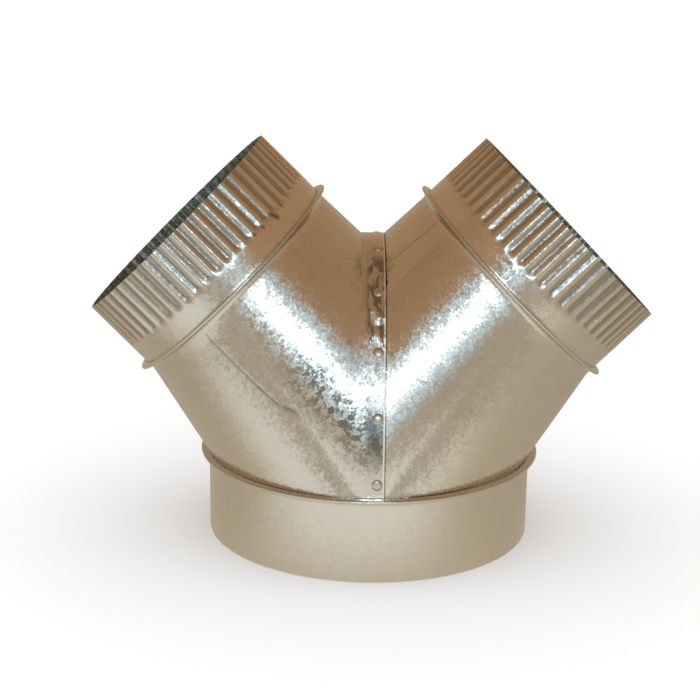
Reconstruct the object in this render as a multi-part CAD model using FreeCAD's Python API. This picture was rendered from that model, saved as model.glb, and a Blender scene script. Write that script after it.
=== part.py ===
"""Galvanised sheet-steel Y branch for round duct.

A plain round collar at the bottom splits into two crimped necks at 45 degrees to the vertical.
Five sheets make it up: the collar, two branch shells that change from half the collar to a round
neck, and the two necks. Folded lock seams join collar to shells and shells to necks, and a row of
rivets closes the lap where the shells meet over the crotch.

Frame: millimetres, +Z up, origin at the centre of the collar's bottom rim, necks along -X and +X.
"""

import FreeCAD
import Part
import os
from math import asin, cos, hypot, pi, radians, sin, sqrt

from FreeCAD import Placement, Rotation, Vector

# Sheet and collar
sheet = 0.6
collar_bore = 200.0
collar_height = 51.0

# Branches, heights measured from the bottom rim
neck_diameter = 147.5
neck_length = 48.0
branch_angle = 45.0
axes_meet_height = 72.7
branch_reach = 121.2
crotch_height = 185.5

# Folded lock seam: how far it stands out, where the wall starts to flare, the flange trapped in it
seam_height = 5.0
seam_flare = 3.6
seam_flange = 3.6
seam_lip_gap = 0.6
seam_clearance = 0.05
neck_bend = 0.4
sleeve_stop = 0.15

# Flat panels of a branch shell: how many along its foot, and the turn from the foot's corner within
# which they fan out
foot_panels = 20
corner_fan = 20.0

# Riveted lap over the crotch
lap_width = 14.0
lap_clearance = 0.05
lap_edge_gap = 0.4
rivets_each_side = 5
rivet_first = 8.5
rivet_pitch = 38.0
rivet_sides = 6
rivet_shank = 3.2
rivet_head = 6.4
rivet_head_flat = 3.2
rivet_head_rise = 1.1
rivet_tail = 4.8
rivet_tail_rise = 1.4
rivet_offset = 3.0
rivet_hole_clearance = 0.1
rivet_tail_gap = 0.1

# Crimps round each neck's open end
crimp_count = 56
crimp_length = 35.5
crimp_runout = 5.0
crimp_depth = 1.8
crimp_mouth = 4.8

# Worked out from the sizes above
collar_radius = collar_bore / 2 + sheet
neck_radius = neck_diameter / 2
half_lap = lap_width / 2
seam_gap = sheet / 2 + seam_clearance
seam_leg = seam_gap + sheet
shell_foot = collar_height + sheet / 2
lap_facet = rivet_pitch / 3
origin = Vector(0, 0, 0)
up = Vector(0, 0, 1)
front = Vector(0, -1, 0)


class Rim:
    """Ring or arch: its centre, the half axis to its start and the half axis to its middle."""

    def __init__(self, centre, start, middle):
        self.centre = centre
        self.start = start
        self.middle = middle

    def point(self, angle):
        return self.centre + self.start * cos(angle) + self.middle * sin(angle)

    def tangent(self, angle):
        return self.middle * cos(angle) - self.start * sin(angle)

    def angle_at(self, length):
        """Angle reached after walking this length of the rim from its start."""
        angle, step = 0, radians(0.05)
        while length > 0:
            length -= step * self.tangent(angle + step / 2).Length
            angle += step
        return angle


def flat_face(points):
    return Part.Face(Part.makePolygon([*points, points[0]]))


def revolve(points):
    """Solid of revolution about Z from (radius, height) corners."""
    return flat_face([Vector(r, 0, z) for r, z in points]).revolve(origin, up, 360)


def closed_solid(faces):
    shell = Part.makeShell(faces)
    shell.sewShape()
    solid = Part.makeSolid(shell)
    if solid.Volume < 0:
        solid.reverse()
    return solid


def placed(shape, place):
    copy = shape.copy()
    copy.Placement = place.multiply(copy.Placement)
    return copy


def neck_place(side):
    """Frame of the left (-1) or right (1) neck: origin at its seam, Z along its axis to the mouth."""
    turn = Rotation(Vector(0, 1, 0), side * branch_angle)
    return Placement(Vector(0, 0, axes_meet_height) + turn.multVec(up) * branch_reach, turn)


def fold_outline(radius):
    """Outer and inner corners of a wall that flares out and folds over a seam's trapped flange.

    The wall of this outer radius comes from below, and height 0 is the flange's middle."""
    crest = radius + seam_height
    lip = radius + seam_lip_gap
    foot = -seam_leg - seam_flare
    outer = [(radius, foot), (crest, -seam_leg), (crest, seam_leg), (lip, seam_leg)]
    inner = [(radius - sheet, foot), (crest - sheet, seam_gap), (lip, seam_gap)]
    return outer, inner


def collar():
    """Bottom collar, plain below and folded over the shells' foot flange above."""
    outer, inner = fold_outline(collar_radius)
    corners = [(collar_radius - sheet, 0), (collar_radius, 0)]
    corners += [(r, z + collar_height) for r, z in outer + inner[::-1]]
    return revolve(corners)


def crimp_cutter(inset):
    """One V groove at angle 0 on a neck, its walls moved into the sheet by inset."""
    flank = crimp_mouth / 2 / crimp_depth
    ramp = crimp_runout / crimp_depth
    drop = inset * hypot(flank, 1) / flank
    floor = neck_radius - crimp_depth - drop
    ramp_foot = neck_length - crimp_length + crimp_runout + drop * ramp - inset * hypot(ramp, 1)
    rise = 2 * crimp_depth + drop
    top = neck_length + rise
    half_mouth = flank * rise
    side_view = [
        Vector(floor, -half_mouth, ramp_foot),
        Vector(floor, -half_mouth, top),
        Vector(floor + rise, -half_mouth, top),
        Vector(floor + rise, -half_mouth, ramp_foot - ramp * rise),
    ]
    end_view = [
        Vector(floor, 0, 0),
        Vector(floor + rise, -half_mouth, 0),
        Vector(floor + rise, half_mouth, 0),
    ]
    ramped = flat_face(side_view).extrude(Vector(0, 2 * half_mouth, 0))
    return ramped.common(flat_face(end_view).extrude(up * top))


def crimped_bar(radius, inset, foot):
    """Solid bar of this radius from foot to the neck's mouth, with every groove cut."""
    bar = Part.makeCylinder(radius, neck_length + inset - foot, Vector(0, 0, foot))
    groove = crimp_cutter(inset)
    grooves = []
    for i in range(crimp_count):
        turned = groove.copy()
        turned.rotate(origin, up, 360 * (i + 0.5) / crimp_count)
        grooves.append(turned)
    return bar.cut(grooves)


def neck():
    """Crimped neck in its own frame: tube, crimps and the flange that the shell folds over.

    The bend from flange to tube runs on past the fold's lip, so a sleeve stops just above the seam."""
    flange = Part.makeCylinder(neck_radius + seam_flange, sheet, Vector(0, 0, -sheet / 2))
    bend_rise = seam_leg + sleeve_stop - sheet / 2
    bend = Part.makeCone(neck_radius + neck_bend, neck_radius, bend_rise, Vector(0, 0, sheet / 2))
    outside = crimped_bar(neck_radius, 0, -sheet / 2).fuse([flange, bend])
    inside = crimped_bar(neck_radius - sheet, sheet, -sheet)
    return outside.cut(inside).removeSplitter()


def arch_rim(centre_x, depth):
    """Lap's arch at this X, this far inside the outermost sheet face."""
    foot_radius = collar_radius - depth
    span = sqrt(foot_radius**2 - half_lap**2)
    rise = crotch_height - depth - shell_foot
    return Rim(Vector(centre_x, 0, shell_foot), front * span, up * rise)


def shell_rims(side, depth, lap_depth):
    """Rims of one face of a branch shell: neck over and under, crotch arch, foot on the collar."""
    place = neck_place(side)
    radius = neck_radius - depth
    centre = place.multVec(Vector(0, 0, -seam_leg - seam_flare))
    over = place.Rotation.multVec(Vector(-side * radius, 0, 0))
    foot_radius = collar_radius - lap_depth - depth
    foot = Rim(Vector(0, 0, shell_foot), front * foot_radius, Vector(side * foot_radius, 0, 0))
    arch = arch_rim(side * half_lap, lap_depth + depth)
    neck_over = Rim(centre, front * radius, over)
    neck_under = Rim(centre, front * radius, over * -1)
    return neck_over, neck_under, arch, foot


def flat_ruling(neck_rim, rim, angle):
    """Neck angle whose straight line to this rim angle lets the sheet lie flat along that line.

    There the tangents of both rims and the line share one plane, so a panel rolls without stretch."""
    target = rim.point(angle)
    along = rim.tangent(angle)
    low, high = -pi / 2, pi / 2

    def lift(neck_angle):
        line = target - neck_rim.point(neck_angle)
        return line.dot(neck_rim.tangent(neck_angle).cross(along))

    low_sign = lift(low) > 0
    for _ in range(50):
        middle = (low + high) / 2
        if (lift(middle) > 0) == low_sign:
            low = middle
        else:
            high = middle
    return low


def neck_angles(neck_rim, rim, angles, corner_line):
    """Neck angle for each rim angle from front to back, fanned out next to the corners."""
    first = angles[0]
    fan_end = first + radians(corner_fan)
    fan_line = flat_ruling(neck_rim, rim, fan_end)
    matched = []
    for angle in angles:
        near = min(angle, pi - angle)
        if near < fan_end:
            line = corner_line + (fan_line - corner_line) * (near - first) / radians(corner_fan)
        else:
            line = flat_ruling(neck_rim, rim, near)
        matched.append(line if angle <= pi / 2 else pi - line)
    return matched


def arch_angles():
    """Bends of the lap: facets a third of the rivet pitch long, with each rivet in a facet's middle."""
    arch = arch_rim(0, 0)
    near = [0]
    mark = rivet_first - lap_facet / 2
    while arch.angle_at(mark + lap_facet / 3) < pi / 2:
        near.append(arch.angle_at(mark))
        mark += lap_facet
    return near + [pi - angle for angle in reversed(near)]


def panel_corners(side, depth, lap_depth):
    """(neck points, rim points) of the upper and the lower panels on one face of a shell."""
    neck_over, neck_under, arch, foot = shell_rims(side, depth, lap_depth)
    corner = asin(half_lap / foot.start.Length)
    step = (pi - 2 * corner) / foot_panels
    foot_angles = [corner + i * step for i in range(foot_panels + 1)]
    corner_line = (flat_ruling(neck_over, arch, 0) - flat_ruling(neck_under, foot, corner)) / 2
    runs = []
    upper = (neck_over, arch, arch_angles(), corner_line)
    lower = (neck_under, foot, foot_angles, -corner_line)
    for neck_rim, rim, angles, line in (upper, lower):
        neck_points = [neck_rim.point(a) for a in neck_angles(neck_rim, rim, angles, line)]
        runs.append((neck_points, [rim.point(a) for a in angles]))
    return runs


def shell_body(side, lap_depth):
    """Transition from half the collar circle and the crotch arch to the neck's ring."""
    faces = []
    outer_runs = panel_corners(side, 0, lap_depth)
    inner_runs = panel_corners(side, sheet, lap_depth)
    for neck_points, rim_points in outer_runs + inner_runs:
        for i in range(1, len(neck_points)):
            faces.append(flat_face([neck_points[i - 1], neck_points[i], rim_points[i]]))
            faces.append(flat_face([neck_points[i - 1], rim_points[i], rim_points[i - 1]]))
    for outer_run, inner_run in zip(outer_runs, inner_runs):
        for outer, inner in zip(outer_run, inner_run):
            for i in range(1, len(outer)):
                faces.append(flat_face([outer[i - 1], outer[i], inner[i], inner[i - 1]]))
    return closed_solid(faces)


def foot_flange(lap_depth, low_x, high_x):
    """Out-turned foot of a shell, between two planes across X, trapped in the collar's fold."""
    inner = collar_radius - lap_depth - sheet
    outer = collar_radius + seam_flange
    ring = revolve([(inner, -sheet / 2), (outer, -sheet / 2), (outer, sheet / 2), (inner, sheet / 2)])
    keep = Part.makeBox(high_x - low_x, 4 * outer, 2 * sheet, Vector(low_x, -2 * outer, -sheet))
    return placed(ring.common(keep), Placement(Vector(0, 0, collar_height), Rotation()))


def branch_shell(side, lap_depth, lap_reach, flange_edge):
    """One branch shell. Its lap runs on from the crease across the middle by lap_reach."""
    outer_arch = arch_points(side * half_lap, lap_depth)
    inner_arch = arch_points(side * half_lap, lap_depth + sheet)
    lap = flat_face(outer_arch + inner_arch[::-1]).extrude(Vector(-side * lap_reach, 0, 0))
    flange = foot_flange(lap_depth, *sorted((flange_edge, side * 2 * collar_radius)))
    outer, inner = fold_outline(neck_radius)
    fold = placed(revolve(outer + inner[::-1]), neck_place(side))
    whole = shell_body(side, lap_depth).fuse([lap, flange, fold])
    hole_radius = rivet_shank / 2 + rivet_hole_clearance
    hole = polygon_bar(hole_radius, -3 * sheet, hole_radius, sheet)
    return whole.cut(at_rivets(hole)).removeSplitter()


def polygon_bar(bottom_radius, bottom, top_radius, top):
    """Many-sided bar or frustum along Z, with a rivet's few sides."""
    turns = [2 * pi * i / rivet_sides for i in range(rivet_sides)]
    low = [Vector(bottom_radius * cos(t), bottom_radius * sin(t), bottom) for t in turns]
    high = [Vector(top_radius * cos(t), top_radius * sin(t), top) for t in turns]
    faces = [flat_face(low), flat_face(high)]
    for i in range(rivet_sides):
        faces.append(flat_face([low[i - 1], low[i], high[i], high[i - 1]]))
    return closed_solid(faces)


def arch_points(centre_x, depth):
    arch = arch_rim(centre_x, depth)
    return [arch.point(angle) for angle in arch_angles()]


def at_rivets(shape):
    """Copies of a shape made along Z, one standing on the outer lap at each rivet."""
    bends = arch_points(rivet_offset, 0)
    copies = []
    for i in range(rivets_each_side):
        for first in (3 * i + 1, len(bends) - 3 * i - 3):
            along = bends[first + 1] - bends[first]
            middle = (bends[first] + bends[first + 1]) / 2
            normal = along.cross(Vector(1, 0, 0)) * -1
            copies.append(placed(shape, Placement(middle, Rotation(up, normal))))
    return copies


def rivets():
    """Raised heads outside, shanks through both laps, upset tails inside."""
    grip = -(2 * sheet + lap_clearance + rivet_tail_gap)
    head = polygon_bar(rivet_head / 2, 0, rivet_head_flat / 2, rivet_head_rise)
    shank = polygon_bar(rivet_shank / 2, grip, rivet_shank / 2, 0)
    tail = polygon_bar(rivet_tail / 2, grip - rivet_tail_rise, rivet_tail / 2, grip)
    return Part.makeCompound(at_rivets(head.fuse([shank, tail])))


def save(name, shape):
    os.makedirs("parts", exist_ok=True)
    shape.exportStep(f"parts/{name}.step")
    print(f"{name}: {len(shape.Solids)} solid(s), {shape.Volume:.0f} mm3, valid {shape.isValid()}")


def main():
    save("base_collar", collar())
    save("left_branch", branch_shell(-1, 0, lap_width, half_lap))
    under = sheet + lap_clearance
    save("right_branch", branch_shell(1, under, lap_width - lap_edge_gap, half_lap + lap_edge_gap))
    one_neck = neck()
    save("left_neck", placed(one_neck, neck_place(-1)))
    save("right_neck", placed(one_neck, neck_place(1)))
    save("lap_rivets", rivets())


main()
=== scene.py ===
"""Looks of a galvanised sheet-steel duct Y branch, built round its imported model.

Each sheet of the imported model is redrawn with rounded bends, crimps and seams, and gets a
hot-dip zinc finish. Lengths are in metres, +Z up, origin at the centre of the collar's lower rim.
"""

from math import asin, atan2, cos, pi, radians, sin, sqrt

import bmesh
import bpy
from bpy.props import FloatProperty, FloatVectorProperty, IntProperty, PointerProperty
from mathutils import Matrix, Vector


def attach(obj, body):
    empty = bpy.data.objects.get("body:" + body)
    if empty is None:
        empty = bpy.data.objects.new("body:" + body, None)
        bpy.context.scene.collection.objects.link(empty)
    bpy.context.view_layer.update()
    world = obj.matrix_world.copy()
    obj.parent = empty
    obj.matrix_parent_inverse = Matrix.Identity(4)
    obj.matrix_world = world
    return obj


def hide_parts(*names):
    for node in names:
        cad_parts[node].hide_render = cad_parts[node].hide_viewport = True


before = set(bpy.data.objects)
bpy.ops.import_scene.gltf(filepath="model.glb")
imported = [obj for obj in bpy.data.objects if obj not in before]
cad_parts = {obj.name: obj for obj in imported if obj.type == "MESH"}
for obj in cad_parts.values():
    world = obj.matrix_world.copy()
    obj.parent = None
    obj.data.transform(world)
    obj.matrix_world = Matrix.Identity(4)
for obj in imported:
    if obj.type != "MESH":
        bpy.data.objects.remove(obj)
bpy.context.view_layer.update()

bl_info = {
    "name": "Duct Y branch",
    "version": (1, 0, 0),
    "blender": (4, 5, 0),
    "location": "View3D > Sidebar > Duct",
    "description": "Draws a galvanised duct Y branch with crimped necks and riveted lap",
    "category": "Add Mesh",
}

FRONT = Vector((0, -1, 0))
RIGHT = Vector((1, 0, 0))
UP = Vector((0, 0, 1))
# Points nearer than this are in the same place.
SAME_PLACE = 1e-6

# Fineness of the meshes: edges round a ring, rulings over each half of a shell, steps along a bend.
COLLAR_EDGES = 256
SHELL_RULINGS = 96
RULING_CUTS = 11
LAP_STEPS = 8
BEND_STEPS = 8
CRIMP_EDGES = 8
RIVET_EDGES = 28
DISC_EDGES = 96

# Creases left on the outside by handling, darkened with painted shade, and dark spots on the left neck:
# start, end, half width and how dark they are.
MARKS = {
    "left_shell": (
        ((-0.0955, -0.0714, 0.1396), (-0.0651, -0.0822, 0.1122), 0.0015, 0.28),
        ((-0.0651, -0.0822, 0.1122), (-0.0540, -0.0855, 0.1030), 0.0016, 0.42),
        ((-0.0500, -0.0865, 0.1012), (-0.0440, -0.0877, 0.0995), 0.0030, 0.42),
        ((-0.0216, -0.0523, 0.1762), (-0.0080, -0.0562, 0.1635), 0.0012, 0.15),
    ),
    "right_shell": (
        ((0.0365, -0.0370, 0.1995), (0.0123, -0.0391, 0.1786), 0.0012, 0.40),
        ((0.0383, -0.0510, 0.1885), (0.0144, -0.0552, 0.1678), 0.0009, 0.25),
    ),
    "left_neck_sheet": (
        ((-0.0592, -0.0518, 0.2062), (-0.0560, -0.0506, 0.2045), 0.0030, 0.85),
        ((-0.0548, -0.0444, 0.2107), (-0.0540, -0.0438, 0.2103), 0.0019, 0.85),
        ((-0.0643, -0.0587, 0.2004), (-0.0635, -0.0583, 0.2000), 0.0020, 0.80),
        ((-0.0686, -0.0627, 0.1965), (-0.0679, -0.0623, 0.1961), 0.0018, 0.75),
        ((-0.0515, -0.0373, 0.2143), (-0.0508, -0.0368, 0.2139), 0.0013, 0.40),
    ),
}
# How deep the marks are pressed in, and how high the lap's small crumples stand.
CREASE_HEIGHT = 0.0001
CRUMPLE_HEIGHT = 0.0004
# Darker, flecked zinc beside the lap on the left shell: start, end and half width.
DARK_PATCH = ((-0.030, -0.089, 0.121), (-0.004, -0.097, 0.092), 0.030)
# Creases of the lap's gaping edge: waves up it, their slant across it, and their share.
LAP_WAVES = ((31, 4, 1.0), (57, -7, 0.7))

# Part of the zinc's grain that each sheet shows, so that no two sheets have the same crystals.
GRAIN_SHIFT = {
    "collar": 0.2,
    "left_shell": 1.0,
    "right_shell": 3.7,
    "left_neck_sheet": 5.1,
    "right_neck_sheet": 8.3,
}
GRAIN_DIRECTION = Vector((1, 0.37, 0.61))
# Shares of the crystals and of the clouds in the zinc's colour and in its roughness.
COLOUR_START = 0.25
CRYSTAL_COLOUR = 0.35
CLOUD_COLOUR = 0.6
CRYSTAL_ROUGHNESS = 0.16
CLOUD_ROUGHNESS = 0.08

# Middle of the part, which the lamp and its card face, and the radius of the walls round it.
MIDDLE = Vector((0, 0, 0.12))
WALL_RADIUS = 3.0

VECTOR = "NodeSocketVector"
NUMBER = "NodeSocketFloat"


def length(name, description, default):
    return FloatProperty(
        name=name, description=description, default=default,
        min=0, precision=5, subtype="DISTANCE", unit="LENGTH",
    )


def colour(name, description, default):
    return FloatVectorProperty(
        name=name, description=description, default=default,
        size=3, min=0, max=1, subtype="COLOR",
    )


class DuctSizes(bpy.types.PropertyGroup):
    """Sizes of the sheets, seams, crimps and rivets."""

    sheet: length("Sheet", "Thickness of every sheet", 0.0006)
    collar_radius: length("Collar radius", "Outer radius of the base collar", 0.1006)
    collar_height: length("Collar height", "Height of the collar's seam", 0.051)
    neck_radius: length("Neck radius", "Outer radius of a neck", 0.07375)
    neck_length: length("Neck length", "From a neck's seam to its mouth", 0.048)
    neck_bend: length("Neck bend", "Radius of the bend above a neck's flange", 0.0006)
    branch_angle: FloatProperty(
        name="Branch angle", description="Lean of each neck from upright",
        default=radians(45), subtype="ANGLE", unit="ROTATION",
    )
    axes_meet_height: length("Axes meet", "Height where the necks' axes meet", 0.0727)
    branch_reach: length("Branch reach", "From there to a neck's seam", 0.1212)
    crotch_height: length("Crotch height", "Top of the lap between the branches", 0.1855)
    seam_height: length("Seam height", "How far a folded seam stands out", 0.005)
    seam_flare: length("Seam flare", "Length over which a wall flares into its seam", 0.0036)
    seam_crest: length("Seam crest", "Half the thickness of a folded seam", 0.00095)
    seam_flange: length("Seam flange", "Width of the flange inside a seam", 0.0036)
    lap_width: length("Lap width", "Width of the riveted lap", 0.014)
    lap_gap: length("Lap gap", "Clearance between the lapped sheets", 0.00005)
    lap_edge_gap: length("Lap edge gap", "How far the under sheet stops short of the lap's end", 0.0004)
    lap_lift: length("Lap lift", "How far the lap's cut edge gapes between rivets", 0.0018)
    crimp_count: IntProperty(name="Crimps", description="Crimps round a neck", default=56, min=8)
    crimp_length: length("Crimp length", "Length of a crimp from the mouth", 0.0355)
    crimp_runout: length("Crimp run-out", "Length over which a crimp fades", 0.005)
    crimp_depth: length("Crimp depth", "Depth of a crimp", 0.0014)
    crimp_taper: length("Crimp taper", "How much a neck's radius shrinks along its crimps", 0.0004)
    rivet_first: length("First rivet", "From the lap's foot to the first rivet", 0.0085)
    rivet_pitch: length("Rivet pitch", "Between rivets along the lap", 0.038)
    rivet_count: IntProperty(name="Rivets", description="Rivets on each side", default=5, min=1)
    rivet_offset: length("Rivet offset", "Rivets' place beside the middle of the lap", 0.003)
    rivet_room: length("Rivet room", "Radius round a rivet in which the lap stays down", 0.009)
    rivet_play: length("Rivet play", "Clearance between the lap and a rivet's tail", 0.0001)
    rivet_head: length("Rivet head", "Diameter of a rivet's head", 0.0064)
    rivet_rise: length("Rivet rise", "Height of a rivet's head", 0.0012)
    rivet_shank: length("Rivet shank", "Diameter of a rivet's shank", 0.0032)
    rivet_tail: length("Rivet tail", "Diameter of a rivet's tail", 0.0048)
    rivet_tail_rise: length("Rivet tail rise", "Height of a rivet's tail", 0.0014)


class DuctFinish(bpy.types.PropertyGroup):
    """Colours and grain of the zinc, and the floor under it."""

    zinc: colour("Zinc", "Bright zinc", (0.74, 0.73, 0.69))
    zinc_dull: colour("Dull zinc", "Duller crystals", (0.66, 0.64, 0.60))
    # Inside colours: the zinc darkened and cooled as painted shade for the insides.
    inside: colour("Inside", "Zinc on the shaded insides", (0.58, 0.63, 0.61))
    inside_dull_painted_shade: colour("Inside dull", "Duller crystals on the insides", (0.46, 0.51, 0.50))
    rivet: colour("Rivet", "Zinc-plated rivets", (0.70, 0.69, 0.67))
    # The lap's cut edge, made near white as a painted highlight.
    cut_edge_highlight: colour("Cut edge", "Bare steel at the lap's cut edge", (0.95, 0.94, 0.92))
    # Painted shade: dark colour laid into the creases, the crimp bottoms, the lap's creases and gap, and the
    # left neck's dark spots.
    painted_shade: colour("Grime", "Dirt in creases, crimps and the lap's gap", (0.16, 0.15, 0.14))
    dark_crystal: colour("Dark crystal", "Dark grey crystals in the dulled zinc", (0.22, 0.22, 0.21))
    floor: colour("Floor", "Pale floor", (0.98, 0.98, 0.98))
    spangle: length("Spangle", "Width of a zinc crystal", 0.0011)
    roughness: FloatProperty(
        name="Roughness", description="Roughness of the zinc", default=0.18, min=0, max=1, subtype="FACTOR",
    )
    crystal_tilt: FloatProperty(
        name="Crystal tilt", description="How far the crystals' faces lean", default=0.078, min=0, max=1,
    )


class Rim:
    """Ring or arch: its centre, the half axis to its start and the half axis to its middle."""

    def __init__(self, centre, start, middle):
        self.centre = centre
        self.start = start
        self.middle = middle

    def point(self, angle):
        return self.centre + self.start * cos(angle) + self.middle * sin(angle)

    def tangent(self, angle):
        return self.middle * cos(angle) - self.start * sin(angle)

    def angle_at(self, run):
        """Angle reached after walking this far along the rim from its start."""
        angle, step = 0, radians(0.05)
        while run > 0:
            run -= step * self.tangent(angle + step / 2).length
            angle += step
        return angle


def neck_place(sizes, side):
    """Frame of the left (-1) or right (1) neck: origin at its seam, Z along its axis."""
    turn = Matrix.Rotation(side * sizes.branch_angle, 4, "Y")
    seam = UP * sizes.axes_meet_height + turn @ UP * sizes.branch_reach
    return Matrix.Translation(seam) @ turn


def shell_foot(sizes):
    return sizes.collar_height + sizes.sheet / 2


def arch_rim(sizes, centre_x, depth):
    """The lap's arch at this X, this far inside the outermost sheet face."""
    half_lap = sizes.lap_width / 2
    span = sqrt((sizes.collar_radius - depth) ** 2 - half_lap**2)
    rise = sizes.crotch_height - depth - shell_foot(sizes)
    return Rim(Vector((centre_x, 0, shell_foot(sizes))), FRONT * span, UP * rise)


def shell_rims(sizes, side, depth):
    """Outer rims of a branch shell: neck over and under, crotch arch, foot on the collar."""
    place = neck_place(sizes, side)
    centre = place @ Vector((0, 0, -sizes.seam_crest - sizes.seam_flare))
    over = place.to_3x3() @ Vector((-side * sizes.neck_radius, 0, 0))
    radius = sizes.collar_radius - depth
    foot_centre = Vector((0, 0, shell_foot(sizes)))
    foot = Rim(foot_centre, FRONT * radius, RIGHT * (side * radius))
    arch = arch_rim(sizes, side * sizes.lap_width / 2, depth)
    start = FRONT * sizes.neck_radius
    return Rim(centre, start, over), Rim(centre, start, -over), arch, foot


def flat_ruling(neck_rim, rim, angle):
    """Neck angle whose line to this rim angle lets the sheet lie flat along that line."""
    target = rim.point(angle)
    along = rim.tangent(angle)
    low, high = -pi / 2, pi / 2

    def lift(neck_angle):
        line = target - neck_rim.point(neck_angle)
        return line.dot(neck_rim.tangent(neck_angle).cross(along))

    low_sign = lift(low) > 0
    halvings = 40
    for _ in range(halvings):
        middle = (low + high) / 2
        if (lift(middle) > 0) == low_sign:
            low = middle
        else:
            high = middle
    return low


def matched_run(neck_rim, rim, first, corner_line, count):
    """Neck and rim points of one half of a shell, ruling by ruling from front to back."""
    fan = radians(20)
    fan_line = flat_ruling(neck_rim, rim, first + fan)
    run = []
    for i in range(count + 1):
        angle = first + (pi - 2 * first) * i / count
        near = min(angle, pi - angle)
        if near < first + fan:
            line = corner_line + (fan_line - corner_line) * (near - first) / fan
        else:
            line = flat_ruling(neck_rim, rim, near)
        neck_angle = line if angle <= pi / 2 else pi - line
        run.append((neck_rim.point(neck_angle), rim.point(angle)))
    return run


def shell_rulings(sizes, side, depth):
    """Closed list of rulings round a shell: over the crotch from front to back, back under the heel."""
    neck_over, neck_under, arch, foot = shell_rims(sizes, side, depth)
    corner = asin(sizes.lap_width / 2 / foot.start.length)
    line = (flat_ruling(neck_over, arch, 0) - flat_ruling(neck_under, foot, corner)) / 2
    over = matched_run(neck_over, arch, 0, line, SHELL_RULINGS)
    under = matched_run(neck_under, foot, corner, -line, SHELL_RULINGS)
    return over + under[-2:0:-1]


def start_ring(name, radius, height, count):
    """New ring of edges round Z, left in edit mode with all of it selected."""
    bpy.ops.object.select_all(action="DESELECT")
    bpy.ops.mesh.primitive_circle_add(vertices=count, radius=radius, fill_type="NOTHING")
    ring = bpy.context.object
    ring.name = name
    ring.data.name = name
    bpy.ops.object.mode_set(mode="EDIT")
    bpy.ops.mesh.select_all(action="SELECT")
    bpy.ops.transform.translate(value=(0, 0, height))
    return ring


def draw_out(profile):
    """Extrudes the selected ring through (radius, height) points."""
    radius, height = profile[0]
    for next_radius, next_height in profile[1:]:
        step = {"value": (0, 0, next_height - height)}
        bpy.ops.mesh.extrude_region_move(TRANSFORM_OT_translate=step)
        grow = next_radius / radius
        bpy.ops.transform.resize(value=(grow, grow, 1), center_override=(0, 0, next_height))
        radius, height = next_radius, next_height


def open_mesh(obj):
    """The mesh that is being edited, with its vertices numbered in order."""
    mesh = bmesh.from_edit_mesh(obj.data)
    mesh.verts.index_update()
    mesh.verts.ensure_lookup_table()
    return mesh


def select_where(obj, test):
    """Selects the vertices that pass the test, with the edges and faces between them."""
    mesh = open_mesh(obj)
    bpy.ops.mesh.select_mode(type="VERT")
    bpy.ops.mesh.select_all(action="DESELECT")
    for vert in mesh.verts:
        vert.select = test(vert)
    mesh.select_flush_mode()
    bmesh.update_edit_mesh(obj.data)


def select_edges_where(obj, test):
    mesh = open_mesh(obj)
    bpy.ops.mesh.select_mode(type="EDGE")
    bpy.ops.mesh.select_all(action="DESELECT")
    for edge in mesh.edges:
        edge.select = test(edge)
    bmesh.update_edit_mesh(obj.data)


def face_outwards(obj):
    """Recalculates normals and turns them out, away from the Z axis."""
    bpy.ops.mesh.select_all(action="SELECT")
    bpy.ops.mesh.normals_make_consistent(inside=False)
    out = 0
    for face in bmesh.from_edit_mesh(obj.data).faces:
        centre = face.calc_center_median()
        out += face.normal.dot(centre - UP * centre.dot(UP)) * face.calc_area()
    if out < 0:
        bpy.ops.mesh.flip_normals()


def make_sheet(sizes, obj, finish_name, marks_and_painted_light=None):
    """Turns a sheet's outer face into a full sheet, with zinc outside that carries the sheet's marks and
    painted light, and plain zinc inside darkened as painted shade.
    """
    bpy.ops.object.mode_set(mode="OBJECT")
    shift = GRAIN_SHIFT[finish_name]
    obj.data.materials.append(outside_zinc(finish_name + "_zinc", shift, marks_and_painted_light))
    obj.data.materials.append(painted_shade_inside_zinc(finish_name + "_painted_shade_inside_zinc", shift))
    wall = obj.modifiers.new("Sheet", "SOLIDIFY")
    wall.material_offset = 1
    wall.thickness = sizes.sheet
    wall.offset = -1
    wall.use_even_offset = True
    wall.use_quality_normals = True
    bpy.ops.object.modifier_apply(modifier=wall.name)


def put_in_place(obj, place):
    obj.matrix_world = place
    bpy.ops.object.transform_apply(location=True, rotation=True, scale=True)


def finish_piece(obj, node, smooth_angle=35):
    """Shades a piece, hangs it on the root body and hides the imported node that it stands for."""
    bpy.ops.object.shade_smooth_by_angle(angle=radians(smooth_angle))
    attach(obj, "root")
    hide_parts(node)


def seam_fold(sizes, radius, seam):
    """(radius, height) points up a wall that flares, rounds the seam's crest and comes back."""
    crest = sizes.seam_crest
    top = radius + sizes.seam_height - crest
    foot = seam - crest - sizes.seam_flare
    points = []
    for i in range(BEND_STEPS + 1):
        t = i / BEND_STEPS
        points.append((radius + (top - radius) * t * t, foot + sizes.seam_flare * (2 * t - t * t)))
    for i in range(1, BEND_STEPS):
        turn = -pi / 2 + pi * i / BEND_STEPS
        points.append((top + crest * cos(turn), seam + crest * sin(turn)))
    for fold_radius in (top, radius + 2 * sizes.sheet, radius + sizes.sheet):
        points.append((fold_radius, seam + crest))
    return points


class DUCT_OT_collar(bpy.types.Operator):
    """Draws the plain base collar, folded round the shells' flange at the top"""

    bl_idname = "duct.collar"
    bl_label = "Base collar"
    bl_options = {"REGISTER", "UNDO"}

    def execute(self, context):
        sizes = context.scene.duct_sizes
        collar = start_ring("collar_sheet", sizes.collar_radius, 0, COLLAR_EDGES)
        fold = seam_fold(sizes, sizes.collar_radius, sizes.collar_height)
        wall_top = fold[0][1]
        stretches = 6
        wall = [(sizes.collar_radius, wall_top * i / stretches) for i in range(stretches)]
        draw_out(wall + fold)
        face_outwards(collar)
        make_sheet(sizes, collar, "collar")
        finish_piece(collar, "base_collar")
        return {"FINISHED"}


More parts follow.
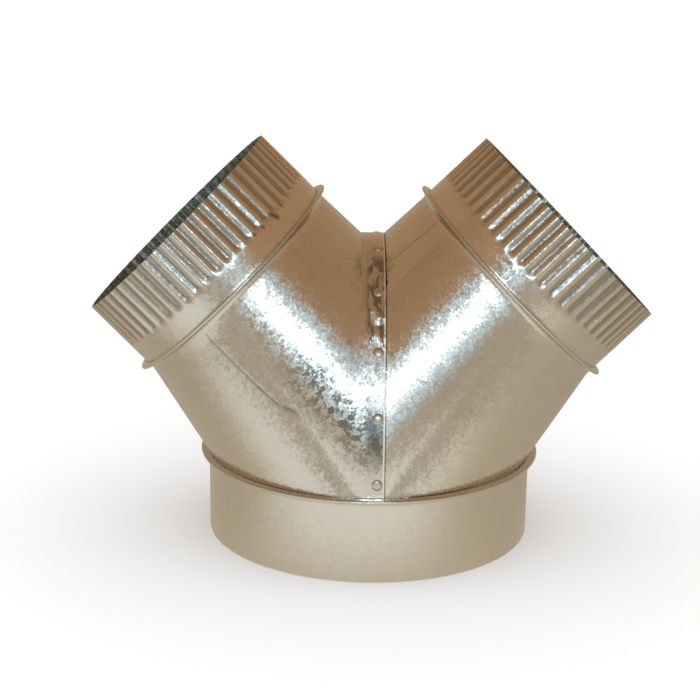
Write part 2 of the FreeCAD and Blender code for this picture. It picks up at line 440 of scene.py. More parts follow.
class DUCT_OT_branches(bpy.types.Operator):
    """Draws the two branch shells, with their lap, foot flange and neck fold"""

    bl_idname = "duct.branches"
    bl_label = "Branch shells"
    bl_options = {"REGISTER", "UNDO"}

    def execute(self, context):
        sizes = context.scene.duct_sizes
        under = sizes.sheet + sizes.lap_gap
        draw_branch(sizes, "left_shell", "left_branch", -1, 0)
        draw_branch(sizes, "right_shell", "right_branch", 1, under)
        return {"FINISHED"}


def draw_branch(sizes, name, node, side, depth):
    """Draws a shell in its neck's own frame, then moves it into place."""
    place = neck_place(sizes, side)
    into_place = place.inverted()
    rulings = [(into_place @ a, into_place @ b) for a, b in shell_rulings(sizes, side, depth)]
    ring = len(rulings)
    shell = start_ring(name, sizes.neck_radius, -sizes.seam_crest - sizes.seam_flare, ring)
    lay_rulings(shell, rulings)
    add_lap(sizes, shell, side, ring, into_place)
    if side < 0:
        crumple_lap(sizes, shell, place, into_place)
    add_foot_flange(sizes, shell, place, into_place)
    cut_rulings(shell, ring)
    select_where(shell, lambda vert: vert.index < ring)
    draw_out(seam_fold(sizes, sizes.neck_radius, 0))
    face_outwards(shell)
    make_sheet(sizes, shell, name, marks_and_painted_light_left_shell if side < 0 else painted_shadow_and_marks_right_shell)
    put_in_place(shell, place)
    finish_piece(shell, node, smooth_angle=28)


def ring_partner(vert, ring):
    """Vertex of the first ring that this drawn-out vertex hangs on."""
    others = (edge.other_vert(vert) for edge in vert.link_edges)
    return next(other for other in others if other.index < ring)


def lay_rulings(shell, rulings):
    """Bends the ring to the rulings' neck ends and draws it out to their far ends."""
    mesh = open_mesh(shell)
    for vert, (neck_end, _) in zip(mesh.verts, rulings):
        vert.co = neck_end
    bmesh.update_edit_mesh(shell.data)
    bpy.ops.mesh.extrude_region_move()
    mesh = open_mesh(shell)
    for vert in mesh.verts:
        if vert.index >= len(rulings):
            _, far_end = rulings[ring_partner(vert, len(rulings)).index]
            vert.co = far_end
    bmesh.update_edit_mesh(shell.data)


def add_lap(sizes, shell, side, ring, into_place):
    """Runs the crotch edge on across the middle as the lap."""

    def on_crotch(vert):
        return vert.index >= ring and ring_partner(vert, ring).index <= SHELL_RULINGS

    select_where(shell, on_crotch)
    reach = sizes.lap_width if side < 0 else sizes.lap_width - sizes.lap_edge_gap
    across = into_place.to_3x3() @ Vector((-side * reach, 0, 0))
    for _ in range(LAP_STEPS):
        bpy.ops.mesh.extrude_region_move(TRANSFORM_OT_translate={"value": across / LAP_STEPS})


def rivet_angles(sizes, arch):
    """Angles of the front rivets up the lap's arch, from the foot to the crotch."""
    return [arch.angle_at(sizes.rivet_first + i * sizes.rivet_pitch) for i in range(sizes.rivet_count)]


def crumple_lap(sizes, shell, place, into_place):
    """Lifts and creases the upper lap's cut edge between its top rivets, on the front."""
    arch = arch_rim(sizes, sizes.rivet_offset, 0)
    rivets = [arch.point(angle) for angle in rivet_angles(sizes, arch)]
    low, high = rivets[-3].z, rivets[-1].z
    lap_start = 0.01
    gape, edge_crease, middle_crease = 0.6, 0.3, 0.25
    mesh = open_mesh(shell)
    for vert in mesh.verts:
        point = place @ vert.co
        across = (point.x + sizes.lap_width / 2) / sizes.lap_width
        if across < lap_start or point.y > 0 or not low < point.z < high:
            continue
        up = (point.z - low) / (high - low)
        crease = sum(share * sin(up * waves + across * slant) for waves, slant, share in LAP_WAVES)
        nearest_rivet = min((point - rivet).length for rivet in rivets)
        lift = sizes.lap_lift * min(1, nearest_rivet / sizes.rivet_room) ** 2 * sin(pi * up) ** 0.5
        lift *= across * (gape + edge_crease * crease) + middle_crease * (1 + crease) * sin(pi * across)
        slope_y = point.y / arch.start.length_squared
        slope_z = (point.z - arch.centre.z) / arch.middle.length_squared
        out = Vector((0, slope_y, slope_z)).normalized()
        vert.co = into_place @ (point + out * max(0, lift))
    bmesh.update_edit_mesh(shell.data)


def add_foot_flange(sizes, shell, place, into_place):
    """Turns the shell's foot out into the collar's seam."""
    level = shell_foot(sizes)
    slack = 0.0001
    beside_lap = sizes.lap_width / 2 - slack

    def on_foot(edge):
        ends = [place @ vert.co for vert in edge.verts]
        return all(abs(end.z - level) < SAME_PLACE and abs(end.x) > beside_lap for end in ends)

    select_edges_where(shell, on_foot)
    bpy.ops.mesh.extrude_region_move()
    rim = sizes.collar_radius + sizes.seam_flange
    for vert in open_mesh(shell).verts:
        if vert.select:
            point = place @ vert.co
            flat = Vector((point.x, point.y, 0))
            vert.co = into_place @ (flat * (rim / flat.length) + UP * level)
    bmesh.update_edit_mesh(shell.data)


def cut_rulings(shell, ring):
    """Divides each ruling between neck and rim, so that the shell shades evenly."""

    def along_ruling(edge):
        first, last = sorted(vert.index for vert in edge.verts)
        return first < ring <= last < 2 * ring

    select_edges_where(shell, along_ruling)
    bpy.ops.mesh.subdivide(number_cuts=RULING_CUTS)


class DUCT_OT_necks(bpy.types.Operator):
    """Draws the two crimped necks with the flange that each shell folds over"""

    bl_idname = "duct.necks"
    bl_label = "Necks"
    bl_options = {"REGISTER", "UNDO"}

    def execute(self, context):
        sizes = context.scene.duct_sizes
        draw_neck(sizes, "left_neck_sheet", "left_neck", -1)
        draw_neck(sizes, "right_neck_sheet", "right_neck", 1)
        return {"FINISHED"}


def draw_neck(sizes, name, node, side):
    """Draws a neck upright from its flange to its mouth, then moves it into place."""
    half_sheet = sizes.sheet / 2
    flange_radius = sizes.neck_radius + sizes.seam_flange
    neck = start_ring(name, flange_radius, half_sheet, CRIMP_EDGES * sizes.crimp_count)
    profile = [(flange_radius, half_sheet)]
    bend, bend_steps = sizes.neck_bend, 4
    for i in range(bend_steps + 1):
        turn = pi / 2 * i / bend_steps
        profile.append((sizes.neck_radius + bend * (1 - sin(turn)), half_sheet + bend * (1 - cos(turn))))
    crimp_start = sizes.neck_length - sizes.crimp_length
    crimp_full = crimp_start + sizes.crimp_runout
    ramp_steps, full_steps = 6, 8
    plain = [crimp_start * share for share in (0.2, 0.5, 0.8, 1)]
    ramp = [crimp_start + sizes.crimp_runout * i / ramp_steps for i in range(1, ramp_steps + 1)]
    full = [crimp_full + (sizes.neck_length - crimp_full) * i / full_steps for i in range(1, full_steps + 1)]
    profile += [(sizes.neck_radius, height) for height in plain + ramp + full]
    draw_out(profile)
    press_crimps(sizes, neck, ramp + full)
    face_outwards(neck)
    make_sheet(sizes, neck, name, painted_shade_and_marks_left_neck if side < 0 else painted_shade_right_neck)
    put_in_place(neck, neck_place(sizes, side))
    finish_piece(neck, node, smooth_angle=50)


def press_crimps(sizes, neck, heights):
    """Presses the grooves in, ring by ring, rounding each one across its width."""
    start = sizes.neck_length - sizes.crimp_length
    half_edges = CRIMP_EDGES // 2
    roundness = 0.8
    near = 0.1

    def edges_from_crest(co):
        turn = atan2(co.y, co.x) / (2 * pi) * sizes.crimp_count
        return abs(turn - round(turn)) * CRIMP_EDGES

    for height in heights:
        run = min(1, (height - start) / sizes.crimp_runout)
        depth = sizes.crimp_depth * run * run * (3 - 2 * run)
        crest = sizes.neck_radius - sizes.crimp_taper * (height - start) / sizes.crimp_length
        for step in range(half_edges + 1):
            groove = 0.5 - 0.5 * cos(pi * step / half_edges)

            def on_step(vert):
                at_height = abs(vert.co.z - height) < SAME_PLACE
                return at_height and abs(edges_from_crest(vert.co) - step) < near

            select_where(neck, on_step)
            shrink = (crest - depth * groove**roundness) / sizes.neck_radius
            bpy.ops.transform.resize(value=(shrink, shrink, 1), center_override=(0, 0, height))


class DUCT_OT_rivets(bpy.types.Operator):
    """Draws one rivet and copies it along both sides of the lap"""

    bl_idname = "duct.rivets"
    bl_label = "Lap rivets"
    bl_options = {"REGISTER", "UNDO"}

    def execute(self, context):
        sizes = context.scene.duct_sizes
        name = "lap_rivet_set"
        profile = rivet_profile(sizes)
        rivet = start_ring(name, *profile[0], RIVET_EDGES)
        bpy.ops.mesh.edge_face_add()
        bpy.ops.mesh.select_all(action="SELECT")
        draw_out(profile)
        bpy.ops.mesh.edge_face_add()
        face_outwards(rivet)
        bpy.ops.object.mode_set(mode="OBJECT")
        copies = []
        for place in rivet_places(sizes):
            copy = rivet.copy()
            copy.data = rivet.data.copy()
            context.collection.objects.link(copy)
            copy.matrix_world = place
            copies.append(copy)
        bpy.data.objects.remove(rivet)
        bpy.ops.object.select_all(action="DESELECT")
        for copy in copies:
            copy.select_set(True)
        context.view_layer.objects.active = copies[0]
        bpy.ops.object.transform_apply(location=True, rotation=True, scale=True)
        bpy.ops.object.join()
        rivets = context.object
        rivets.name = name
        rivets.data.name = name
        rivets.data.materials.append(rivet_material())
        finish_piece(rivets, "lap_rivets")
        return {"FINISHED"}


def rivet_profile(sizes):
    """(radius, height) points from a rivet's tail to its domed head, with the lap's face at 0."""
    tail, shank, head = sizes.rivet_tail / 2, sizes.rivet_shank / 2, sizes.rivet_head / 2
    grip = -(2 * sizes.sheet + sizes.lap_gap + sizes.rivet_play)
    tail_end, tail_edge = 0.7, 0.6
    dome_fullness = 0.8
    profile = [
        (tail * tail_end, grip - sizes.rivet_tail_rise),
        (tail, grip - sizes.rivet_tail_rise * tail_edge),
        (tail, grip),
        (shank, grip),
        (shank, 0),
        (head, 0),
    ]
    for i in range(1, BEND_STEPS):
        turn = pi / 2 * i / BEND_STEPS
        profile.append((head * cos(turn) ** dome_fullness, sizes.rivet_rise * sin(turn)))
    return profile


def rivet_places(sizes):
    """Frames of the rivets on the front and the back of the lap, Z out of the sheet."""
    arch = arch_rim(sizes, sizes.rivet_offset, 0)
    fronts = rivet_angles(sizes, arch)
    places = []
    for angle in fronts + [pi - angle for angle in fronts]:
        point = arch.point(angle)
        normal = RIGHT.cross(arch.tangent(angle)).normalized()
        if normal.dot(point - arch.centre) < 0:
            normal = -normal
        turn = UP.rotation_difference(normal).to_matrix().to_4x4()
        places.append(Matrix.Translation(point) @ turn)
    return places


def feed(tree, value, socket):
    """Links a socket's value to a socket, or sets a plain number, vector or colour on it."""
    if isinstance(value, bpy.types.NodeSocket):
        tree.links.new(value, socket)
    else:
        socket.default_value = value


def maths(tree, operation, *values):
    node = tree.nodes.new("ShaderNodeMath")
    node.operation = operation
    for socket, value in zip(node.inputs, values):
        feed(tree, value, socket)
    return node.outputs["Value"]


def vector_maths(tree, operation, *values, scale=None):
    node = tree.nodes.new("ShaderNodeVectorMath")
    node.operation = operation
    for socket, value in zip(node.inputs, values):
        feed(tree, value, socket)
    if scale is not None:
        feed(tree, scale, node.inputs["Scale"])
    return node.outputs["Value" if operation in ("DOT_PRODUCT", "LENGTH") else "Vector"]


def fade(tree, value, start, end):
    """Runs smoothly from 0 at start to 1 at end."""
    node = tree.nodes.new("ShaderNodeMapRange")
    node.interpolation_type = "SMOOTHSTEP"
    node.inputs["From Min"].default_value = start
    node.inputs["From Max"].default_value = end
    tree.links.new(value, node.inputs["Value"])
    return node.outputs["Result"]


def noise_field(tree, place, scale, detail=2):
    node = tree.nodes.new("ShaderNodeTexNoise")
    node.inputs["Scale"].default_value = scale
    node.inputs["Detail"].default_value = detail
    tree.links.new(place, node.inputs["Vector"])
    return node.outputs


def opaque(tint):
    return (*tint, 1)


def blended(tree, factor, first, second):
    """Mix of two colours, from the first at 0 to the second at 1."""
    node = tree.nodes.new("ShaderNodeMix")
    node.data_type = "RGBA"
    for name, value in (("Factor", factor), ("A", first), ("B", second)):
        feed(tree, value, node.inputs[name])
    return node.outputs["Result"]


def new_group(name, inputs, outputs):
    """New node group, with the sockets that it is given and those of its result."""
    group = bpy.data.node_groups.new(name, "ShaderNodeTree")
    for in_out, sockets in (("INPUT", inputs), ("OUTPUT", outputs)):
        for socket, kind in sockets.items():
            group.interface.new_socket(socket, in_out=in_out, socket_type=kind)
    return group, group.nodes.new("NodeGroupInput").outputs, group.nodes.new("NodeGroupOutput").inputs


def use_group(tree, name, build, place, **values):
    """Puts a shared group on this place vector, built on its first use, and gives its outputs."""
    if name not in bpy.data.node_groups:
        build(name)
    node = tree.nodes.new("ShaderNodeGroup")
    node.node_tree = bpy.data.node_groups[name]
    tree.links.new(place, node.inputs["Vector"])
    for socket, value in values.items():
        node.inputs[socket].default_value = value
    return node.outputs


def crystal_field(group, place, scale):
    """Crystals of one size: the lean of each one's face, and its random shade."""
    cells = group.nodes.new("ShaderNodeTexVoronoi")
    group.links.new(place, cells.inputs["Vector"])
    group.links.new(scale, cells.inputs["Scale"])
    split = group.nodes.new("ShaderNodeSeparateColor")
    group.links.new(cells.outputs["Color"], split.inputs["Color"])
    return centred(group, cells.outputs["Color"]), split.outputs["Red"]


def centred(group, random_colour):
    """Random vector about zero, from a random colour."""
    return vector_maths(group, "SUBTRACT", random_colour, (0.5, 0.5, 0.5))


def build_spangle(name):
    """Zinc crystals of two sizes: the lean of their faces, a random shade for each, and soft clouds."""
    outputs = {"Lean": VECTOR, "Crystal": NUMBER, "Cloud": NUMBER}
    group, given, result = new_group(name, {"Vector": VECTOR, "Width": NUMBER}, outputs)
    ragged_scale, ragged_width = 500, 0.0005
    wide_scale, wide_lean_share, wide_shade_share = 0.4, 0.6, 0.6
    cloud_scale, cloud_detail = 22, 4

    ragged = centred(group, noise_field(group, given["Vector"], ragged_scale)["Color"])
    ragged = vector_maths(group, "SCALE", ragged, scale=ragged_width)
    place = vector_maths(group, "ADD", given["Vector"], ragged)
    scale = maths(group, "DIVIDE", 1, given["Width"])
    fine_lean, fine_shade = crystal_field(group, place, scale)
    wide_lean, wide_shade = crystal_field(group, place, maths(group, "MULTIPLY", scale, wide_scale))
    wide_lean = vector_maths(group, "SCALE", wide_lean, scale=wide_lean_share)
    wide_shade = maths(group, "MULTIPLY", wide_shade, wide_shade_share)
    shade = maths(group, "MULTIPLY_ADD", fine_shade, 1 - wide_shade_share, wide_shade)
    group.links.new(vector_maths(group, "ADD", fine_lean, wide_lean), result["Lean"])
    group.links.new(shade, result["Crystal"])
    clouds = noise_field(group, given["Vector"], cloud_scale, cloud_detail)
    group.links.new(clouds["Fac"], result["Cloud"])


def build_lap_painted_light(name):
    """Masks along the riveted lap: the darker strip, its creases for painted shade, the cut edge for a
    painted highlight and the gap beside it for a painted shadow.
    """
    sizes = bpy.context.scene.duct_sizes
    outputs = {"Strip": NUMBER, "Creases": NUMBER, "Edge highlight": NUMBER, "Gap": NUMBER}
    group, given, result = new_group(name, {"Vector": VECTOR}, outputs)
    split = group.nodes.new("ShaderNodeSeparateXYZ")
    group.links.new(given["Vector"], split.inputs["Vector"])
    across, depth, height = split.outputs["X"], split.outputs["Y"], split.outputs["Z"]
    cut = sizes.lap_width / 2
    strip_start, strip_full = -0.75 * cut, -0.25 * cut
    # Last millimetre before the lap's cut edge, which gets a painted highlight.
    edge_highlight_start, edge_highlight_full = cut - 0.0011, cut - 0.0007
    gap_end, gap_full = cut + 0.0011, cut + 0.0005
    front = maths(group, "LESS_THAN", depth, 0)
    strip = maths(group, "MULTIPLY", fade(group, across, strip_start, strip_full), front)
    group.links.new(strip, result["Strip"])
    group.links.new(fade(group, across, edge_highlight_start, edge_highlight_full), result["Edge highlight"])
    group.links.new(fade(group, across, gap_end, gap_full), result["Gap"])

    arch = arch_rim(sizes, 0, 0)
    heights = [arch.point(angle).z for angle in rivet_angles(sizes, arch)]
    low_start, low_full = heights[-3] - 0.002, heights[-3] + 0.006
    high_end, high_full = heights[-1] - 0.001, heights[-1] - 0.006
    blot_stretch, blot_scale = (1.6, 0.5, 0.5), 190
    blot_none, blot_full = 0.44, 0.56
    stretched = group.nodes.new("ShaderNodeMapping")
    stretched.inputs["Scale"].default_value = blot_stretch
    group.links.new(given["Vector"], stretched.inputs["Vector"])
    blots = noise_field(group, stretched.outputs["Vector"], blot_scale)["Fac"]
    creases = maths(group, "MULTIPLY", fade(group, blots, blot_none, blot_full), strip)
    creases = maths(group, "MULTIPLY", creases, fade(group, height, low_start, low_full))
    creases = maths(group, "MULTIPLY", creases, fade(group, height, high_end, high_full))
    group.links.new(creases, result["Creases"])


def build_mark(name):
    """Mask of a thin straight mark between two places on a sheet."""
    inputs = {"Vector": VECTOR, "Start": VECTOR, "End": VECTOR, "Width": NUMBER}
    group, given, result = new_group(name, inputs, {"Mask": NUMBER})
    run = vector_maths(group, "SUBTRACT", given["End"], given["Start"])
    offset = vector_maths(group, "SUBTRACT", given["Vector"], given["Start"])
    run_squared = vector_maths(group, "DOT_PRODUCT", run, run)
    share = maths(group, "DIVIDE", vector_maths(group, "DOT_PRODUCT", offset, run), run_squared)
    share = maths(group, "MINIMUM", maths(group, "MAXIMUM", share, 0), 1)
    nearest = vector_maths(group, "SCALE", run, scale=share)
    away = vector_maths(group, "LENGTH", vector_maths(group, "SUBTRACT", offset, nearest))
    near = maths(group, "SUBTRACT", 1, maths(group, "DIVIDE", away, given["Width"]))
    group.links.new(fade(group, near, 0, 1), result["Mask"])


def build_groove_shade(name):
    """Mask of the bottoms of a neck's crimps, where painted shade goes, by their distance from the neck's
    axis.
    """
    sizes = bpy.context.scene.duct_sizes
    inputs = {"Vector": VECTOR, "Centre": VECTOR, "Axis": VECTOR}
    group, given, result = new_group(name, inputs, {"Mask": NUMBER})
    offset = vector_maths(group, "SUBTRACT", given["Vector"], given["Centre"])
    radius = vector_maths(group, "LENGTH", vector_maths(group, "CROSS_PRODUCT", offset, given["Axis"]))
    shade_free_share = 0.35
    shade_free = sizes.neck_radius - shade_free_share * sizes.crimp_depth
    full_shade = sizes.neck_radius - sizes.crimp_depth
    group.links.new(fade(group, radius, shade_free, full_shade), result["Mask"])


def blank_material(name):
    material = bpy.data.materials.new(name)
    material.use_nodes = True
    tree = material.node_tree
    return material, tree, tree.nodes["Principled BSDF"]


class ZincFace:
    """A sheet's zinc as its marks and painted light are laid over it: sockets of its place, crystals, colour,
    roughness, height.
    """

    def __init__(self, tree, place, crystal, base, rough):
        self.tree = tree
        self.place = place
        self.crystal = crystal
        self.base = base
        self.rough = rough
        self.height = 0

    def tint(self, mask, share, tint):
        """Turns the colour towards a tint by this share of the mask."""
        factor = maths(self.tree, "MULTIPLY", mask, share)
        self.base = blended(self.tree, factor, self.base, opaque(tint))

    def mark_mask(self, start, end, width):
        return use_group(self.tree, "Mark", build_mark, self.place, Start=start, End=end, Width=width)["Mask"]

    def press_marks(self, marks):
        """Paints shade along the creases, darkens the spots, and presses them in."""
        painted_shade = bpy.context.scene.duct_finish.painted_shade
        for start, end, width, dark in marks:
            mask = self.mark_mask(start, end, width)
            self.tint(mask, dark, painted_shade)
            self.height = maths(self.tree, "MULTIPLY_ADD", mask, -CREASE_HEIGHT, self.height)


def zinc_material(name, shift, bright, dull, tilt, marks_and_painted_light=None):
    """Hot-dip zinc whose crystals lean this far; the sheet's own marks function, if any, lays its marks,
    painted shade and painted highlights over it.
    """
    finish = bpy.context.scene.duct_finish
    material, tree, shader = blank_material(name)
    place = tree.nodes.new("ShaderNodeTexCoord").outputs["Object"]
    mapping = tree.nodes.new("ShaderNodeMapping")
    mapping.inputs["Location"].default_value = GRAIN_DIRECTION * shift
    tree.links.new(place, mapping.inputs["Vector"])
    spangle = use_group(tree, "Spangle", build_spangle, mapping.outputs["Vector"], Width=finish.spangle)
    crystal, cloud = spangle["Crystal"], spangle["Cloud"]

    share = maths(tree, "MULTIPLY_ADD", crystal, CRYSTAL_COLOUR, COLOUR_START)
    share = maths(tree, "MULTIPLY_ADD", cloud, CLOUD_COLOUR, share)
    base = blended(tree, share, opaque(dull), opaque(bright))
    smoothest = finish.roughness - CRYSTAL_ROUGHNESS / 2
    rough = maths(tree, "MULTIPLY_ADD", crystal, CRYSTAL_ROUGHNESS, smoothest)
    rough = maths(tree, "MULTIPLY_ADD", cloud, CLOUD_ROUGHNESS, rough)
    lean = vector_maths(tree, "SCALE", spangle["Lean"], scale=tilt)
    flat_normal = tree.nodes.new("ShaderNodeNewGeometry").outputs["Normal"]
    normal = vector_maths(tree, "NORMALIZE", vector_maths(tree, "ADD", flat_normal, lean))
    if marks_and_painted_light:
        face = ZincFace(tree, place, crystal, base, rough)
        marks_and_painted_light(face)
        base, rough = face.base, face.rough
        bump = tree.nodes.new("ShaderNodeBump")
        bump.inputs["Distance"].default_value = 1
        feed(tree, face.height, bump.inputs["Height"])
        tree.links.new(normal, bump.inputs["Normal"])
        normal = bump.outputs["Normal"]
    tree.links.new(base, shader.inputs["Base Color"])
    tree.links.new(rough, shader.inputs["Roughness"])
    tree.links.new(normal, shader.inputs["Normal"])
    shader.inputs["Metallic"].default_value = 1
    return material


def outside_zinc(name, shift, marks_and_painted_light):
    finish = bpy.context.scene.duct_finish
    return zinc_material(name, shift, finish.zinc, finish.zinc_dull, finish.crystal_tilt, marks_and_painted_light)


def painted_shade_inside_zinc(name, shift):
    """Zinc on the inside of a sheet, darkened and cooled as painted shade, with flatter crystals."""
    finish = bpy.context.scene.duct_finish
    tilt_share = 0.25
    return zinc_material(name, shift, finish.inside, finish.inside_dull_painted_shade, finish.crystal_tilt * tilt_share)


def marks_and_painted_light_left_shell(face):
    """Darker flecked zinc beside the lap, painted shade in the lap's creases, a painted highlight on its cut
    edge, and the shell's marks.
    """
    finish = bpy.context.scene.duct_finish
    tree = face.tree
    lap = use_group(tree, "Lap painted light", build_lap_painted_light, face.place)
    patch = face.mark_mask(*DARK_PATCH)
    fleck_none, fleck_full = 0.68, 0.25
    face.tint(patch, fade(tree, face.crystal, fleck_none, fleck_full), finish.dark_crystal)
    # The lap strip is tinted darker, much more so inside the darker patch.
    strip_dark, strip_in_patch = 0.08, 0.9
    darkening = maths(tree, "MULTIPLY_ADD", patch, strip_in_patch, strip_dark)
    face.tint(lap["Strip"], darkening, finish.dark_crystal)
    crease_shade, edge_roughness = 0.7, 0.25
    # Painted shade in the lap's creases.
    face.tint(lap["Creases"], crease_shade, finish.painted_shade)
    # Painted highlight: the lap's cut edge turned near white so that it shows as a bright line.
    face.tint(lap["Edge highlight"], 1, finish.cut_edge_highlight)
    face.rough = maths(tree, "MULTIPLY_ADD", lap["Edge highlight"], edge_roughness, face.rough)
    face.height = maths(tree, "MULTIPLY", lap["Creases"], CRUMPLE_HEIGHT)
    face.press_marks(MARKS["left_shell"])


def painted_shadow_and_marks_right_shell(face):
    """Painted shadow in the gap beside the lap's edge, and the shell's marks."""
    gap_shadow = 0.75
    lap = use_group(face.tree, "Lap painted light", build_lap_painted_light, face.place)
    # Painted shadow along the gap beside the lap's cut edge.
    face.tint(lap["Gap"], gap_shadow, bpy.context.scene.duct_finish.painted_shade)
    face.press_marks(MARKS["right_shell"])


def painted_shade_and_marks_left_neck(face):
    shade_crimps(face, -1)
    face.press_marks(MARKS["left_neck_sheet"])


def painted_shade_right_neck(face):
    shade_crimps(face, 1)


def shade_crimps(face, side):
    """Painted shade in the bottoms of a neck's crimps."""
    place = neck_place(bpy.context.scene.duct_sizes, side)
    axis = place.to_3x3() @ UP
    groove_shade = 0.5
    grooves = use_group(
        face.tree, "Groove shade", build_groove_shade, face.place, Centre=place.translation, Axis=axis,
    )
    face.tint(grooves["Mask"], groove_shade, bpy.context.scene.duct_finish.painted_shade)


def rivet_material():
    """Dull bright plating on the rivets."""
    finish = bpy.context.scene.duct_finish
    material, tree, shader = blank_material("rivet_plating")
    place = tree.nodes.new("ShaderNodeTexCoord").outputs["Object"]
    grain_scale, grain_detail, dull_share = 700, 3, 0.75
    grain_roughness, smoothest = 0.2, 0.2
    grain = noise_field(tree, place, grain_scale, grain_detail)["Fac"]
    dull = [channel * dull_share for channel in finish.rivet]
    tree.links.new(blended(tree, grain, opaque(dull), opaque(finish.rivet)), shader.inputs["Base Color"])
    rough = maths(tree, "MULTIPLY_ADD", grain, grain_roughness, smoothest)
    tree.links.new(rough, shader.inputs["Roughness"])
    shader.inputs["Metallic"].default_value = 1
    return material


class DUCT_OT_stage(bpy.types.Operator):
    """Sets the camera, the pale floor and the soft studio light"""

    bl_idname = "duct.stage"
    bl_label = "Stage"
    bl_options = {"REGISTER", "UNDO"}

    def execute(self, context):
        add_camera(context)
        add_floor(context)
        add_walls(context)
        add_table()
        add_pale_card(context)
        add_key_lamp(context)
        light_world(context)
        context.scene.view_settings.view_transform = "Standard"
        return {"FINISHED"}


def add_camera(context):
    elevation, azimuth, roll = radians(15.189), radians(-0.350), radians(0.792)
    target = Vector((-0.01278, 0, 0.1121))
    distance = 0.9113
    focal_pixels, picture_pixels = 1460.66, 700
    back = Vector((sin(azimuth) * cos(elevation), -cos(azimuth) * cos(elevation), sin(elevation)))
    right = Vector((cos(azimuth), sin(azimuth), 0))
    up = back.cross(right)
    right, up = right * cos(roll) + up * sin(roll), up * cos(roll) - right * sin(roll)
    data = bpy.data.cameras.new("camera")
    data.sensor_width = 36
    data.lens = data.sensor_width * focal_pixels / picture_pixels
    data.clip_start, data.clip_end = 0.01, 50
    camera = bpy.data.objects.new("camera", data)
    turn = Matrix((right, up, back)).transposed().to_4x4()
    camera.matrix_world = Matrix.Translation(target + back * distance) @ turn
    context.collection.objects.link(camera)
    context.scene.camera = camera


def add_disc(name, radius):
    bpy.ops.object.select_all(action="DESELECT")
    bpy.ops.mesh.primitive_circle_add(
        vertices=DISC_EDGES, radius=radius, fill_type="NGON", location=(0, 0, 0),
    )
    disc = bpy.context.object
    disc.name = name
    return disc


def add_floor(context):
    floor = add_disc("floor", radius=12)
    material, _, shader = blank_material("pale_floor")
    shader.inputs["Base Color"].default_value = opaque(context.scene.duct_finish.floor)
    shader.inputs["Roughness"].default_value = 0.9
    shader.inputs["Specular IOR Level"].default_value = 0
    floor.data.materials.append(material)


def only_reflected(card, name, share_at, stops):
    """Makes a studio card glow in mottled colours graded over its face, for the metal alone to show."""
    material, tree, shader = blank_material(name)
    tree.nodes.remove(shader)
    place = tree.nodes.new("ShaderNodeTexCoord").outputs["Object"]
    ramp = tree.nodes.new("ShaderNodeValToRGB")
    tree.links.new(share_at(tree, place), ramp.inputs["Fac"])
    elements = ramp.color_ramp.elements
    for element, (position, tint) in zip(elements, (stops[0], stops[-1])):
        element.position = position
        element.color = opaque(tint)
    for position, tint in stops[1:-1]:
        elements.new(position).color = opaque(tint)
    mottle_scale, mottle_share, weakest = 1.6, 0.6, 0.7
    mottle = noise_field(tree, place, mottle_scale)["Fac"]
    glow = tree.nodes.new("ShaderNodeEmission")
    tree.links.new(maths(tree, "MULTIPLY_ADD", mottle, mottle_share, weakest), glow.inputs["Strength"])
    tree.links.new(ramp.outputs["Color"], glow.inputs["Color"])
    tree.links.new(glow.outputs["Emission"], tree.nodes["Material Output"].inputs["Surface"])
    card.data.materials.append(material)
    card.visible_camera = False
    card.visible_diffuse = False
    card.visible_shadow = False


def add_walls(context):
    """Warm walls and ceiling of the studio, which only the metal's reflections show."""
    bpy.ops.object.select_all(action="DESELECT")
    bpy.ops.mesh.primitive_uv_sphere_add(segments=48, ring_count=24, radius=WALL_RADIUS, location=(0, 0, 0))
    walls = context.object
    walls.name = "studio_walls"
    bpy.ops.object.mode_set(mode="EDIT")
    bpy.ops.mesh.select_all(action="SELECT")
    above_floor = 0.002
    bpy.ops.mesh.bisect(plane_co=(0, 0, above_floor), plane_no=UP, clear_inner=True)
    bpy.ops.object.mode_set(mode="OBJECT")
    bpy.ops.object.shade_smooth()
    stops = [
        (0.0, (0.46, 0.39, 0.30)),
        (0.2, (0.44, 0.34, 0.23)),
        (0.45, (0.46, 0.28, 0.15)),
        (1.0, (0.35, 0.205, 0.105)),
    ]

    def share_of_height(tree, place):
        return vector_maths(tree, "DOT_PRODUCT", place, UP / WALL_RADIUS)

    only_reflected(walls, "warm_walls", share_of_height, stops)


def add_table():
    """Warm table card under the part, paler towards the front, for the reflections alone."""
    table = add_disc("table_card", radius=2.9)
    bpy.ops.object.mode_set(mode="EDIT")
    bpy.ops.mesh.select_all(action="SELECT")
    above_floor = 0.0006
    bpy.ops.transform.translate(value=(0, 0, above_floor))
    bpy.ops.object.mode_set(mode="OBJECT")
    stops = [
        (0.0, (0.81, 0.80, 0.73)),
        (0.27, (0.77, 0.74, 0.65)),
        (0.40, (0.57, 0.48, 0.36)),
        (0.46, (0.52, 0.43, 0.31)),
        (1.0, (0.47, 0.40, 0.31)),
    ]
    pale_spot = Vector((-0.10, -0.34, 0))
    spot_width, spot_depth = 0.96, 0.66
    spread = (1 / spot_width, 1 / spot_depth, 1)

    def share_from_spot(tree, place):
        offset = vector_maths(tree, "SUBTRACT", place, pale_spot)
        return vector_maths(tree, "LENGTH", vector_maths(tree, "MULTIPLY", offset, spread))

    only_reflected(table, "warm_table", share_from_spot, stops)


def facing_middle(place):
    """Turn of a lamp or card at this place that faces the middle of the part."""
    return (MIDDLE - place).to_track_quat("-Z", "Y")


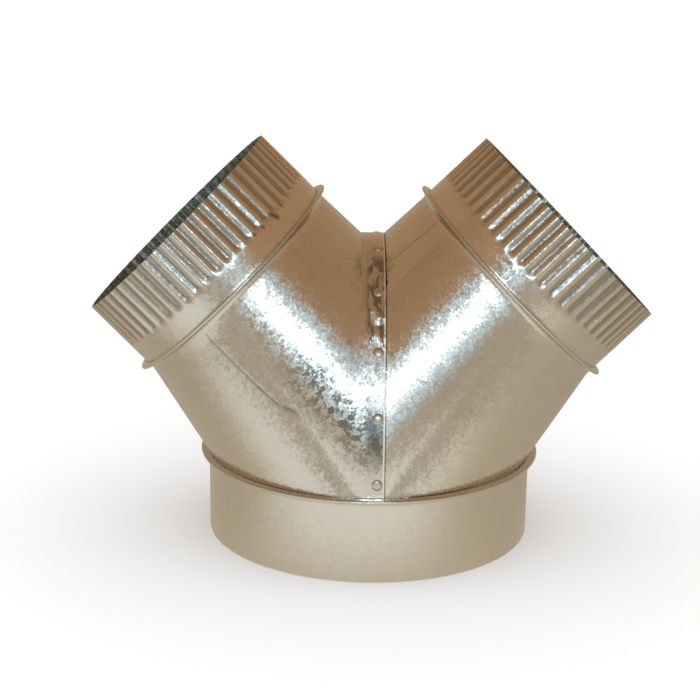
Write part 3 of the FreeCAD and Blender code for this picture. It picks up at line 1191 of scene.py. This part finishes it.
def add_pale_card(context):
    """Cool pale card round the key lamp, which gives the metal's highlights their soft border."""
    bpy.ops.object.select_all(action="DESELECT")
    place = Vector((0.03, -1.60, 0.74))
    width = 1.1
    bpy.ops.mesh.primitive_plane_add(size=width, location=place, rotation=facing_middle(place).to_euler())
    card = context.object
    card.name = "pale_card"
    stops = [
        (0.0, (0.98, 1.1, 1.18)),
        (0.55, (0.80, 1.0, 1.09)),
        (1.0, (0.63, 0.78, 0.86)),
    ]
    spread = (2, 2.4, 0)

    def share_from_middle(tree, place):
        return vector_maths(tree, "LENGTH", vector_maths(tree, "MULTIPLY", place, spread))

    only_reflected(card, "cool_card", share_from_middle, stops)


def add_key_lamp(context):
    data = bpy.data.lights.new("key_softbox", "AREA")
    data.shape = "RECTANGLE"
    data.size, data.size_y = 0.48, 0.30
    data.energy = 1.4
    data.color = (0.88, 1.0, 1.04)
    place = Vector((-0.02, -1.44, 0.69))
    lamp = bpy.data.objects.new("key_softbox", data)
    lamp.matrix_world = Matrix.Translation(place) @ facing_middle(place).to_matrix().to_4x4()
    context.collection.objects.link(lamp)
    lamp.visible_camera = False


def light_world(context):
    world = bpy.data.worlds.new("white_studio")
    world.use_nodes = True
    context.scene.world = world
    back = world.node_tree.nodes["Background"]
    back.inputs["Color"].default_value = (1, 1, 1, 1)
    back.inputs["Strength"].default_value = 1.08


class DUCT_PT_parts(bpy.types.Panel):
    """Lists the pieces of the duct and their sizes"""

    bl_label = "Duct Y branch"
    bl_idname = "DUCT_PT_parts"
    bl_space_type = "VIEW_3D"
    bl_region_type = "UI"
    bl_category = "Duct"

    def draw(self, context):
        for operator in OPERATORS:
            self.layout.operator(operator.bl_idname)
        for group in (context.scene.duct_sizes, context.scene.duct_finish):
            for name in group.__annotations__:
                self.layout.prop(group, name)


OPERATORS = (DUCT_OT_collar, DUCT_OT_branches, DUCT_OT_necks, DUCT_OT_rivets, DUCT_OT_stage)
CLASSES = (DuctSizes, DuctFinish, *OPERATORS, DUCT_PT_parts)


def register():
    for item in CLASSES:
        bpy.utils.register_class(item)
    bpy.types.Scene.duct_sizes = PointerProperty(type=DuctSizes)
    bpy.types.Scene.duct_finish = PointerProperty(type=DuctFinish)


def unregister():
    del bpy.types.Scene.duct_finish
    del bpy.types.Scene.duct_sizes
    for item in reversed(CLASSES):
        bpy.utils.unregister_class(item)


def main():
    register()
    bpy.ops.duct.collar()
    bpy.ops.duct.branches()
    bpy.ops.duct.necks()
    bpy.ops.duct.rivets()
    bpy.ops.duct.stage()


if __name__ == "__main__":
    main()
